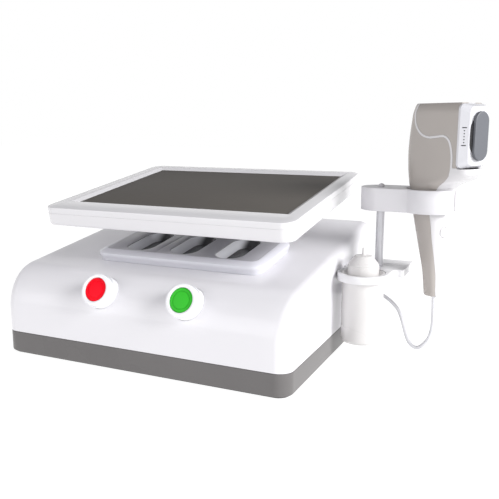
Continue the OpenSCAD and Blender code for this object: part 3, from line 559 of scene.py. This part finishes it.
def make_console():
    shell = console_solid("console_cover", 0, BAND_TOP)
    rear_window = shift(0, CONSOLE_D / 2, 84) @ turn(90, "X")
    arm_duct = shift(6.5, 128, top_at(128)) @ turn(SLOPE_DEGREES, "X")
    tools = [console_solid("hollow", COVER_WALL, 20)]
    tools += [drum("hole", 21, -45, 3, at_button(side)) for side in (-1, 1)]
    tools.append(box("window", 250, 78, 6, -20, 20, rear_window))
    tools.append(drum("socket", 9.2, -12, 12, IN_SOCKET))
    tools.append(drum("duct", 8, -10, 10, arm_duct))
    cut(shell, tools, smooth=35)
    hand_in(shell, "console", SHELL, "shell_white", "top_shell")

    # grey tub, from its inner floor over the lip and down: inset, height
    rings = []
    for inset, z in ((5.4, 5.2), (5.4, 33.2), (3.5, 33.2), (3.5, 29.2), (0.9, 29.2),
                     (0.35, 29.05), (0.0, 28.5), (0.0, 4.0), (0.25, 3.0), (0.9, 2.3),
                     (2.0, 2.05)):
        rings.append([(x, y, z) for x, y in rounded_rect(
            CONSOLE_W - 2 * inset, CONSOLE_D - 2 * inset, CORNER_R - inset, steps=20)])
    hand_in(loft("console_base", rings), "console", BAND, "band_grey", "base_tray")

    for node, look, edge, slot in (
            ("tray_body", TRAY_WHITE, 0.7, "shell_white"),
            ("tray_inlay", TRAY_TOP, 0.3, "tray_grey"),
            ("tray_pockets", POCKET, 0.5, "shell_white"),
            ("stand_base", ARM, 0.8, "arm_paint"),
            ("holder_bracket", BRACKET, 0.7, "shell_white"),
            ("cradle", HOLDER, 0.8, "shell_white"),
            ("rear_panel", PANEL, 0.2, "panel_metal"),
            ("mains_inlet", BLACK, 0.4, "plastic_black"),
            ("rocker_frame", BLACK, 0.4, "plastic_black"),
            ("fan_frame", BLACK, 0.4, "plastic_black"),
            ("handpiece_socket", STEEL, 0.4, "fastener"),
            ("cradle_screw", HOLDER, 0.2, "fastener"),
            ("foot_rim", RUBBER, 0.4, "rubber_black")):
        hand_in(cad_copy(node, edge), "console", look, slot, node)

    post = lathe("holder_tube", rounded([(0, 105.5, 0), (5.3, 105.5, 0.3), (5.3, 217, 0.5),
                                         (0, 217, 0)]), shift(*POST_XY, 0), turns=64)
    hand_in(post, "console", POST, "post_metal", "holder_post")


make_console()


# ---------------------------------------------------------------- push buttons
def make_buttons():
    collar = rounded([
        (14.95, -11.5, 0), (14.95, -0.3, 0.8), (17.2, 0.15, 1.0), (19.9, -0.5, 1.6),
        (20.2, -7, 0.3), (18.4, -7.2, 0.2), (18.4, -11, 0.2), (20.7, -11.2, 0.2),
        (20.7, -30, 0.5), (13, -30.2, 0.3), (13, -42, 0.5), (9, -42, 0.3), (9, -31, 0.2),
        (6.05, -30.8, 0.2), (6.05, -11.8, 0.3), (14.95, -11.5, 0)])[:-1]
    cap = rounded([
        (0, -38, 0), (6, -38, 0.4), (6, -6.4, 0.3), (14.6, -6.4, 0.4), (14.6, -1.9, 0.9),
        (13.4, -1.35, 0.8), (11.15, -1.3, 0.12), (11.1, -2.0, 0.1), (10.25, -2.0, 0.1),
        (10.2, -1.3, 0.12), (8, -1.15, 0), (0, -0.95, 0)])
    for side, name, look, slot in ((-1, "stop", RED, "button_red"),
                                   (1, "start", GREEN, "button_green")):
        place = at_button(side)
        hand_in(lathe(name + "_collar", collar, place, loop=True), "console", COLLAR,
                "shell_white", name + "_bezel")
        hand_in(lathe(name + "_cap", cap, place), name + "_button", look, slot,
                name + "_button")


make_buttons()


# ---------------------------------------------------------------- display and its arm
def make_display():
    width, length, corner = 355, 286, 17
    view_w, view_l, view_y = 319, 234, 155      # opening over the glass

    def outer(inset, z):
        return [(x, y, z) for x, y in rounded_rect(
            width - 2 * inset, length - 2 * inset, corner - inset, 0, length / 2, 12)]

    def inner(grow, z, r=2.0):
        return [(x, y, z) for x, y in rounded_rect(
            view_w - 2 * grow, view_l - 2 * grow, r, 0, view_y, 12)]

    # front frame, up its outside, over the lip, down to the glass and back under it
    rings = [outer(0.55, -8.05), outer(0.12, -1.6), outer(0.25, -0.85), outer(0.65, -0.3),
             outer(1.4, 0.0), inner(-0.7, 0.0, 2.6), inner(-0.2, -0.12, 2.2), inner(0.2, -0.45),
             inner(6.2, -2.95, 1.2), inner(6.5, -3.2, 1.0), inner(6.5, -7.9, 1.0),
             inner(-6.0, -7.9), inner(-6.0, -5.2), outer(3.0, -5.2), outer(3.0, -8.05)]
    hand_in(loft("display_frame", rings, IN_DISPLAY, loop=True), "display", DISPLAY_WHITE,
            "shell_white", "display_front_frame")
    rings = [outer(inset, z) for inset, z in (
        (3.2, -22.0), (3.2, -8.15), (0.3, -8.15), (0.7, -20.5), (1.0, -22.4), (1.8, -23.8),
        (3.3, -24.5))]
    cover = loft("display_cover", rings, IN_DISPLAY)
    hand_in(cover, "display", DISPLAY_WHITE, "shell_white", "display_rear_cover")
    hand_in(cad_copy("display_glass", 0.25), "display", GLASS, "glass_dark", "display_glass")
    hand_in(cad_copy("display_bracket", 0.6), "display", ARM, "panel_metal", "display_bracket")
    hand_in(cad_copy("lift_arm", 1.2, 3), "lift_arm", ARM, "arm_paint", "lift_arm")
    hand_in(cad_copy("upper_hinge_pin", 0.4), "display", STEEL, "fastener", "upper_hinge_pin")
    hand_in(cad_copy("lower_hinge_pin", 0.4), "console", STEEL, "fastener", "lower_hinge_pin")


make_display()


# ---------------------------------------------------------------- gel bottle
def make_bottle():
    place = shift(*BOTTLE_XY, 0)
    body = rounded([
        (0, 22.6, 0), (18, 22.6, 1.0), (20.4, 21.5, 1.0), (24.4, 21.5, 3.0), (26.4, 25, 3.0),
        (26.4, 109.3, 0.1), (28.3, 109.3, 0.3), (28.3, 111.0, 0.6), (25.4, 111.4, 1.0),
        (21, 107.7, 1.0), (17, 107.6, 0.6), (17, 118, 0.3), (15.6, 118, 0.3), (15.6, 106.4, 0.3),
        (20, 106.4, 0.5), (25.0, 105, 2.0), (25.0, 27.4, 3.0), (21.2, 23.6, 0.5), (0, 23.6, 0)])
    hand_in(lathe("bottle", body, place), "bottle", BOTTLE, "bottle_white", "bottle_body")
    cap = rounded([
        (17.3, 108, 0), (19.8, 108, 0.5), (19.8, 120.6, 0.5), (19.2, 121.2, 0.2),
        (19.2, 121.9, 0.2), (19.7, 122.4, 0.8), (10.8, 133.4, 2.2), (4.6, 134.0, 1.2),
        (2.5, 135.4, 1.0), (1.9, 143.4, 0.5), (0.9, 144, 0.2), (0.9, 132, 0.2), (8.8, 131.6, 0.5),
        (17.3, 121, 0.3), (17.3, 108, 0)])[:-1]
    hand_in(lathe("bottle_top", cap, place, loop=True), "bottle_cap", BOTTLE, "bottle_white",
            "bottle_cap")


make_bottle()


# ---------------------------------------------------------------- handpiece
# its outline at each height: height, back, front, half width, squareness
HAND = [
    (81, 3.5, 22.5, 10.8, 2.5), (83, 2, 24, 12.4, 2.5), (95, 1.2, 24, 13.7, 2.6),
    (110, -0.2, 24, 14.9, 2.6), (125, -3.2, 24, 16.1, 2.6), (140, -7.7, 24, 17, 2.6),
    (155, -11.9, 24.2, 17.9, 2.6), (170, -16, 24.4, 18.7, 2.6), (183, -19.2, 24.6, 19.4, 2.6),
    (205, -22.8, 27, 21.5, 2.7), (216, -24.3, 30, 23, 2.7), (218, -24.5, 30.6, 23.2, 2.8),
    (224, -25.6, 38, 23.8, 3.2), (231, -26.6, 56, 24, 3.6), (236, -27.1, 63.6, 24, 3.8),
    (240, -27.4, 67, 24, 4), (250, -27.9, 68, 24, 4.1), (262, -28.1, 68, 24, 4.2),
    (280, -27, 68, 24, 4.2), (300, -24.3, 68, 24, 4.2), (310, -22.5, 68, 24, 4.2),
    (316, -21.4, 68, 22.5, 4), (320, -20.6, 67.3, 20.5, 4), (322, -20, 66.5, 18.5, 4)]
# side view (forward, up): the seam between the two beige skins, and the grip skin's front edge
SEAM = [(-9.7, 326), (-9.7, 322), (-10.6, 315.7), (-11.3, 308.5), (-8.6, 295.8), (1.1, 285),
        (13.2, 281.2), (24.8, 282.1), (36.1, 282.9), (43.1, 278.6), (47, 270), (49, 257.9),
        (48.9, 243.9)]
GRIP_FRONT = [(22.4, 60), (22.4, 95), (22.3, 110), (21.4, 125), (20, 140), (18.3, 155), (17, 170),
              (15.5, 183), (14, 203), (20, 212), (28, 222), (40, 230), (46, 236.5)]
NOTCH_X, NOTCH_Z = 55.2, 245    # corner of the space that holds the cartridge
PANEL_FOOT_Z = 246.2            # lower edge of the head's skins
PAD_Z = 283.2                   # height of the pad's middle


def hand_solid(name, inset, low=None, high=None, around=96):
    """Handpiece's outer form, inset all round and cut off below low and above high."""
    stations = spline(HAND, 4)
    low = HAND[0][0] + inset if low is None else low
    high = HAND[-1][0] - inset if high is None else high
    rings = []
    for z, back, front, half, e in stations:
        c, a, b = (back + front) / 2, (front - back) / 2 - inset, half - inset
        ring = []
        for k in range(around):
            t = 2 * math.pi * (k + 0.5) / around
            ring.append((c + a * math.copysign(abs(math.cos(t)) ** (2 / e), math.cos(t)),
                         b * math.copysign(abs(math.sin(t)) ** (2 / e), math.sin(t)),
                         min(max(z, low), high)))
        # of the rings pressed onto low, keep the last; of those onto high, the first
        if rings and abs(ring[0][2] - rings[-1][0][2]) < 1e-6:
            if ring[0][2] <= low + 1e-6:
                rings[-1] = ring
            continue
        rings.append(ring)
    return loft(name, rings, IN_HAND, smooth=40)


def offset_line(points, by):
    """Line in side view, moved sideways."""
    out = []
    for i, (x, z) in enumerate(points):
        a, b = points[max(i - 1, 0)], points[min(i + 1, len(points) - 1)]
        dx, dz = b[0] - a[0], b[1] - a[1]
        n = math.hypot(dx, dz)
        out.append((x + by * dz / n, z - by * dx / n))
    return out


def side_prisms(name, outline):
    """Outline in side view (x forward, z up), raised on both sides of the handpiece."""
    n = len(outline)
    verts, faces = [], []
    for near, far in ((6, 40), (-6, -40)):
        start = len(verts)
        verts += [(x, near, z) for x, z in outline] + [(x, far, z) for x, z in outline]
        faces.append(tuple(range(start, start + n)))
        faces.append(tuple(range(start + n, start + 2 * n)))
        faces += [(start + k, start + (k + 1) % n, start + n + (k + 1) % n, start + n + k)
                  for k in range(n)]
    return new_piece(name, verts, faces, IN_HAND)


def grip_area(name, grow):
    """Where the grip's skins lie, grown by a gap all round."""
    seam = offset_line(spline(SEAM, 6), 1.5 - grow)
    front = offset_line(spline(GRIP_FRONT, 4), grow)
    return side_prisms(name, [(-60, 60)] + front + list(reversed(seam)) + [(-60, 326)])


def head_area(name, grow):
    """Where the head's skins lie, grown by a gap all round."""
    seam = offset_line(spline(SEAM, 6), -1.5 + grow)
    seam = [p for p in seam if p[1] > PANEL_FOOT_Z]
    foot = PANEL_FOOT_Z - grow
    return side_prisms(name, seam + [(seam[-1][0], foot), (80, foot), (80, 326)])


def cartridge_space(low):
    return box("notch", 60, 100, 1, low, 345, IN_HAND, NOTCH_X + 30, 0)


def make_handpiece():
    core = hand_solid("handpiece_body", 0)
    gap, seat = 0.22, 1.9       # the skins' seats are this much wider, and this deep
    tools = []
    for area in (grip_area("cut_a", gap), head_area("cut_b", gap)):
        tools.append(cut(area, [hand_solid("inner", seat)]))
    tools.append(cartridge_space(NOTCH_Z))
    tools.append(hand_solid("cavity", 4.6, 244.0, 317.0))
    tools.append(drum("tail", 4.9, 60, 92, IN_HAND @ shift(LEAD_AXIS, 0, 0), turns=48))
    tools.append(drum("thumb", 7, 10, 40, IN_THUMB, turns=48))
    cut(core, tools, smooth=40)
    hand_in(core, "handpiece", HAND_WHITE, "hand_white", "handpiece_core")

    for name, area, node in (("grip_skin", grip_area, "grip_covers"),
                             ("head_skin", head_area, "head_panels")):
        cover = hand_solid(name, 0.18)
        tools = [hand_solid("inner", 1.75)]
        if node == "head_panels":
            tools.append(cartridge_space(200))
        cut(cover, tools)
        cut(cover, [area("region", 0)], "INTERSECT", smooth=40)
        hand_in(cover, "handpiece", BEIGE, "hand_beige", node)

    button = lathe("thumb_button", rounded([
        (0, 10, 0), (2, 10, 0.2), (2, 21.6, 0.2), (6.6, 21.6, 0.2), (6.6, 24.6, 0.5),
        (5.6, 24.9, 0.4), (0, 25.0, 0)]), IN_THUMB, turns=48)
    hand_in(button, "fire_button", HAND_WHITE, "hand_white", "fire_button")


make_handpiece()


def upright(outline, x):
    """Outline (across, up) set upright at x forward of the handpiece's axis."""
    return [(x, a, PAD_Z + b) for a, b in outline]


def make_cartridge():
    # housing, from its back to its front lip: forward, height, width, corner
    rings = []
    for x, h, w, r in ((64.8, 64, 29, 6), (64.6, 65.2, 30.2, 6.6), (58.5, 70.2, 42.2, 4.6),
                       (55.7, 70.4, 42.4, 4.6), (55.45, 71.0, 43.0, 5.0), (55.45, 74.0, 46.0, 6.5),
                       (55.8, 74.8, 46.8, 6.9), (56.4, 75, 47, 7), (58.5, 75, 47, 7),
                       (59.0, 74.7, 46.4, 7.1), (65.0, 70.3, 35.6, 8.8), (65.9, 69.6, 34.6, 8.9),
                       (66.7, 68.5, 33.4, 8.8), (67.15, 67.2, 32.0, 8.6), (67.3, 65.8, 30.8, 8.4)):
        rings.append(upright(rounded_rect(w, h, r, steps=10), x))
    hand_in(loft("cartridge", rings, IN_HAND, smooth=28), "cartridge", CARTRIDGE, "cartridge_white",
            "cartridge_shell")
    rings = [upright(stadium(46 - 2 * i, 30.4 - 2 * i), x)
             for x, i in ((67.25, 0), (68.6, 0), (68.8, 0.2), (68.8, 1.0))]
    hand_in(loft("pad_surround", rings, IN_HAND), "cartridge", BLACK, "plastic_black", "pad_seat")
    rings = [upright(stadium(57 - 2 * i, 24 - 2 * i), x)
             for x, i in ((68.85, 0), (71.2, 0), (71.6, 0.2), (71.85, 0.7), (71.95, 1.5),
                          (72.0, 3.0))]
    hand_in(loft("membrane", rings, IN_HAND, smooth=28), "cartridge", PAD, "pad_grey",
            "treatment_pad")


def make_scale():
    """Printed scale on the cartridge's two sloping sides: five dots between two bars."""
    high, low, marks = 293.1, 272.7, 7
    bar, dot = (2.6, 0.55), (0.62, 0.62)        # half sizes, along the side and up
    middle_x, slope_x, slope_y = 62.6, 59.0, 23.2
    middle_y = slope_y - (middle_x - slope_x) * 0.9
    along = Vector((6.0, -5.4, 0)).normalized()
    outwards = (0.67, 0.74)
    block = ((0, 1, 2, 3), (7, 6, 5, 4), (0, 4, 5, 1), (1, 5, 6, 2), (2, 6, 7, 3), (3, 7, 4, 0))
    verts, faces = [], []
    for side in (-1, 1):
        for i in range(marks):
            z = high - i * (high - low) / (marks - 1)
            half = bar if i in (0, marks - 1) else dot
            start = len(verts)
            for out in (-0.02, 0.12):
                for a, b in ((-1, -1), (1, -1), (1, 1), (-1, 1)):
                    x = middle_x + a * half[0] * along.x + out * outwards[0]
                    y = middle_y + a * half[0] * along.y + out * outwards[1]
                    verts.append((x, side * y, z + b * half[1]))
            faces += [tuple(start + k for k in face) for face in block]
    scale = new_piece("cartridge_scale", verts, faces, IN_HAND)
    hand_in(scale, "cartridge", MARK, "cartridge_white")


make_cartridge()
make_scale()


# ---------------------------------------------------------------- CAD nodes that stay
for kept_nodes, finish in (
        (("chassis_plate", "button_bracket", "power_supply", "lcd_panel"), PANEL),
        (("screws", "display_screws", "button_nuts", "board_standoffs", "scan_motor", "scan_screw",
          "transducer"), STEEL),
        (("heat_sink",), ALLOY),
        (("main_board", "driver_board", "display_board", "handpiece_board"), BOARD),
        (("button_switches", "fan_rotor", "power_rocker", "scan_carriage"), BLACK),
        (("gel_fill",), GEL)):
    for kept_node in kept_nodes:
        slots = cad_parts[kept_node].data.materials
        slots.clear()
        slots.append(finish)


# ---------------------------------------------------------------- floor and light
def make_floor():
    reach, level = 6000, -0.4
    floor = new_piece("floor", [(-reach, -reach, level), (reach, -reach, level),
                                (reach, reach, level), (-reach, reach, level)], [(0, 1, 2, 3)])
    pale = finish_of("floor_pale", (0.30, 0.30, 0.30), 0.8, bump=0.0, mottle=0.003, specular=0.0)
    shader = pale.node_tree.nodes["Principled BSDF"]
    shader.inputs["Emission Color"].default_value = (1, 1, 1, 1)
    shader.inputs["Emission Strength"].default_value = 0.90
    floor.data.materials.append(pale)


def make_sky():
    """White round the horizon, grey overhead."""
    world = bpy.data.worlds.new("studio")
    bpy.context.scene.world = world
    world.use_nodes = True
    nodes, links = world.node_tree.nodes, world.node_tree.links
    place = nodes.new("ShaderNodeTexCoord")
    height = nodes.new("ShaderNodeSeparateXYZ")
    links.new(place.outputs["Generated"], height.inputs["Vector"])
    fall = nodes.new("ShaderNodeValToRGB")
    fall.color_ramp.interpolation = "EASE"
    fall.color_ramp.elements[0].position = 0.22
    fall.color_ramp.elements[0].color = (1.0, 1.0, 1.0, 1)
    fall.color_ramp.elements[1].position = 0.60
    fall.color_ramp.elements[1].color = (0.24, 0.24, 0.25, 1)
    links.new(height.outputs["Z"], fall.inputs["Fac"])
    links.new(fall.outputs["Color"], nodes["Background"].inputs["Color"])


def make_lights():
    target = Vector((0.08, 0, 0.12))
    for name, where, size, power, colour in (
            ("key", (2.3, -0.35, 1.15), 0.9, 60, (1, 1, 1)),
            ("front", (-1.1, -2.2, 1.0), 1.6, 12, (0.98, 0.97, 1.0))):
        light = bpy.data.objects.new(name, bpy.data.lights.new(name, "AREA"))
        light.data.size = size
        light.data.energy = power
        light.data.color = colour
        light.location = where
        light.rotation_euler = (Vector(where) - target).to_track_quat("Z", "Y").to_euler()
        bpy.context.scene.collection.objects.link(light)


make_floor()
make_sky()
make_lights()
bpy.context.scene.view_settings.view_transform = "Standard"
bpy.context.scene.view_settings.look = "None"
